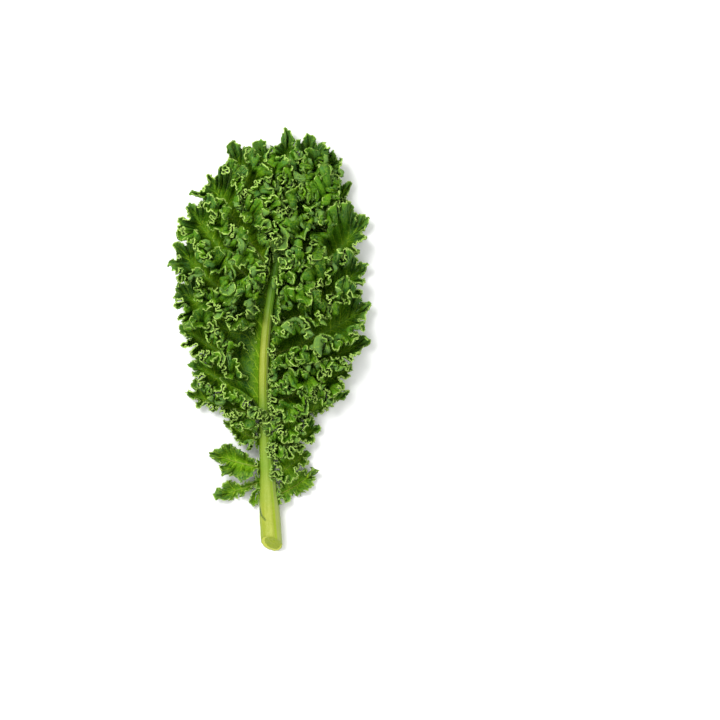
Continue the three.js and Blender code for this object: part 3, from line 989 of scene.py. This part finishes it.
def makeStalk(tree, material):
    near, far = stalkPoints[:, 1].min(), stalkPoints[:, 1].max()
    slant = np.hypot(stalk["sweep"]["Cut Slope"], stalk["sweep"]["Cut Skew"])
    near = near + slant * midrib["radius"](near + 6)
    y = np.linspace(near, far, int((far - near) / stalk["step"]))
    (broad, broadLength), (fine, fineLength) = stalk["waves"]
    uneven = 1 + broad * np.sin(y / broadLength) + fine * np.sin(y / fineLength)
    radius = stalk["girth"] * np.maximum(midrib["radius"](y), 0.6) * uneven
    radius = radius * np.sqrt(np.clip((far + 0.5 - y) / stalk["farTaper"], 0.02, 1))
    rings, crown = np.array(stalk["cutRings"]), stalk["cutCrown"]
    y = np.concatenate([y[0] - crown + crown * rings ** 2, y])
    heart = np.concatenate([1 - rings, np.zeros(len(radius))])
    radius = np.concatenate([radius[0] * rings, radius])
    path = np.stack([midrib["centre"](y), y, midrib["under"](y) + midrib["radius"](y)], 1)
    facts = {
        "girth": radius * toMetres, "fromCut": (y - y[0]) * toMetres, "heart": heart,
        "youngAndShade": np.interp(y, *np.transpose(stalk["youngAndShade"])),
    }
    piece = sweepPiece("stalk_rib", tree, [path], facts, {**stalk["sweep"], "Material": material})
    verts, line = pointsOf(piece.data), np.array(stalk["scar"])
    off = np.full(len(verts), np.inf)
    for first, ahead in zip(line, np.diff(line, axis=0)):
        share = np.clip((verts[:, :2] - first) @ ahead / (ahead @ ahead), 0, 1)
        off = np.minimum(off, np.linalg.norm(verts[:, :2] - (first + share[:, None] * ahead), axis=1))
    scar = 1 - smooth(stalk["scarWidth"] * 0.5, stalk["scarWidth"] * 1.6, off)
    addFacts(piece.data, {"scar": scar * (verts[:, 2] > stalk["scarAbove"])})
    return piece


veins = {
    "sweep": {"Sides": 8, "Top Height": 1.0, "Cut Reach": 0.001},
    "points": 26,
    "footGirth": 1.15,
    "girth": 0.75,
    "tipGirth": 0.16,
    "tipReach": 0.8,  # of the way across the blade at a lobe's tip
    "fullLength": 40,  # of a lobe whose vein has the whole girth
}


# The lobes' own veins, along the troughs they were read from and out into each pointed end.
def makeVeins(tree, material, troughs, looks, points, starts):
    paths, girths, youngAndShade = [], [], []
    for number, (trough, look) in enumerate(zip(troughs, looks)):
        at = alongBlade(trough, look, np.linspace(0, 0.5, veins["points"]))
        line = np.concatenate([at["root"], at["height"][:, None]], 1)
        middle = (starts[number] + starts[number + 1]) // 2
        out = points[middle, 1:int(veins["tipReach"] * len(columnAt)):2]
        line = np.concatenate([line, out])
        share = lengthsAlong(line)
        share = share / share[-1]
        girth = blendTo(veins["footGirth"], veins["girth"], smooth(0, 0.2, share))
        girth = blendTo(girth, veins["tipGirth"], share ** 0.8)
        paths.append(line)
        girths.append(girth * min(1.0, trough["length"] / veins["fullLength"]))
        youngAndShade.append((0.25 + 0.75 * smooth(0.0, 0.6, share)) * (1 - look["tender"]))
    girth, along = np.concatenate(girths), np.concatenate([lengthsAlong(path) for path in paths])
    facts = {"girth": girth * toMetres, "fromCut": along * toMetres + 1.0,  # far from the cut
             "heart": 0 * girth, "youngAndShade": np.concatenate(youngAndShade), "scar": 0 * girth}
    return sweepPiece("veins", tree, paths, facts, {**veins["sweep"], "Material": material})


web = {
    "from": -62.0,  # along the leaf
    "to": 112.0,
    "step": 2.0,
    "share": 0.6,  # of the leaf's half width
    "above": 0.75,  # the surface that the leaf lies on
    "edgeWave": 9.0,
    "lift": 0.45,  # of its margin
    "liftWave": 14.0,
    "sweep": 22.0,  # how far its rows run towards the leaf's tip on their way out
    "raised": (-46.0, 12.0),  # where it shows on the left, and rises to the top of the midrib
    "raisedHeight": 0.84,  # of that top
    "bands": (-70, 130, 10.0),  # where the leaf's half width is measured
    "bandReach": 8,
}


# The blade runs on between the lobes' feet, low down beside the midrib.
def makeWeb(hand, edges, rng):
    y = np.arange(web["from"], web["to"], web["step"])
    out = np.maximum(web["share"] * np.interp(y, *edges) - midrib["radius"](y), 2)
    out = out + waver(y, web["edgeWave"], rng)
    out = out * (0.05 + 0.95 * smooth(0, 14, y - y[0]) * smooth(0, 50, y[-1] - y))
    start, end = web["raised"]
    raised = smooth(start - 10, start, y) * (1 - smooth(end, end + 12, y)) * (hand < 0)
    near = midrib["centre"](y) + hand * blendTo(0.7, 0.95, raised) * midrib["radius"](y)
    t = columnAt[None]
    away = out[:, None] * t
    x = near[:, None] + hand * away
    z = web["above"] + (web["lift"] + web["lift"] * waver(y, web["liftWave"], rng)[:, None]) * t
    z = z + (raised * web["raisedHeight"] * midrib["top"](y))[:, None] * (1 - smooth(-2, 34, away))
    grid = np.stack([x, y[:, None] + web["sweep"] * (1 - np.exp(-away / 12)), z], 2)
    rows = {"width": out, "base": y - y[0], "strength": 0 * y, "tender": -0.08 * raised, "atTip": 0 * y}
    if hand > 0:
        grid, rows = grid[::-1], {name: values[::-1] for name, values in rows.items()}
    return shell(grid, rows, slice(None))


makeStudio()
print("studio made")
greens, ribPaint, sweep = bladeMaterial(bladeFinish), ribMaterial(ribFinish), sweepTree()
names = sorted(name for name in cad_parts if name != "stalk")
rng = np.random.default_rng(blade["seed"])
troughs = [readTrough(name) for name in names]
looks = [lobes[name] for name in names]
points, starts, joint = grow([layOut(trough, look, rng) for trough, look in zip(troughs, looks)])
for name, look, start, end in zip(names, looks, starts[:-1], starts[1:]):
    cutTeeth(points[start:end], look["tooth"], look["toothGap"], rng)
    piece = sheetPiece(name + "_blade", *shell(points[start:end], joint, slice(start, end)), greens)
    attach(piece, "root")
    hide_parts(name)
bands = np.arange(*web["bands"])
inBand = [np.abs(points[..., 1] - place) < web["bandReach"] for place in bands]
for hand, label in ((-1, "left"), (1, "right")):
    out = [np.max(hand * points[..., 0][inside]) - hand * midrib["centre"](place)
           for inside, place in zip(inBand, bands)]
    piece = sheetPiece(f"{label}_web", *makeWeb(hand, (bands, out), rng), greens)
    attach(piece, "root")
print("blades made")

piece = makeStalk(sweep, ribPaint)
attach(piece, "root")
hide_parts("stalk")
piece = makeVeins(sweep, ribPaint, troughs, looks, points, starts)
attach(piece, "root")
print("stalk and veins made")
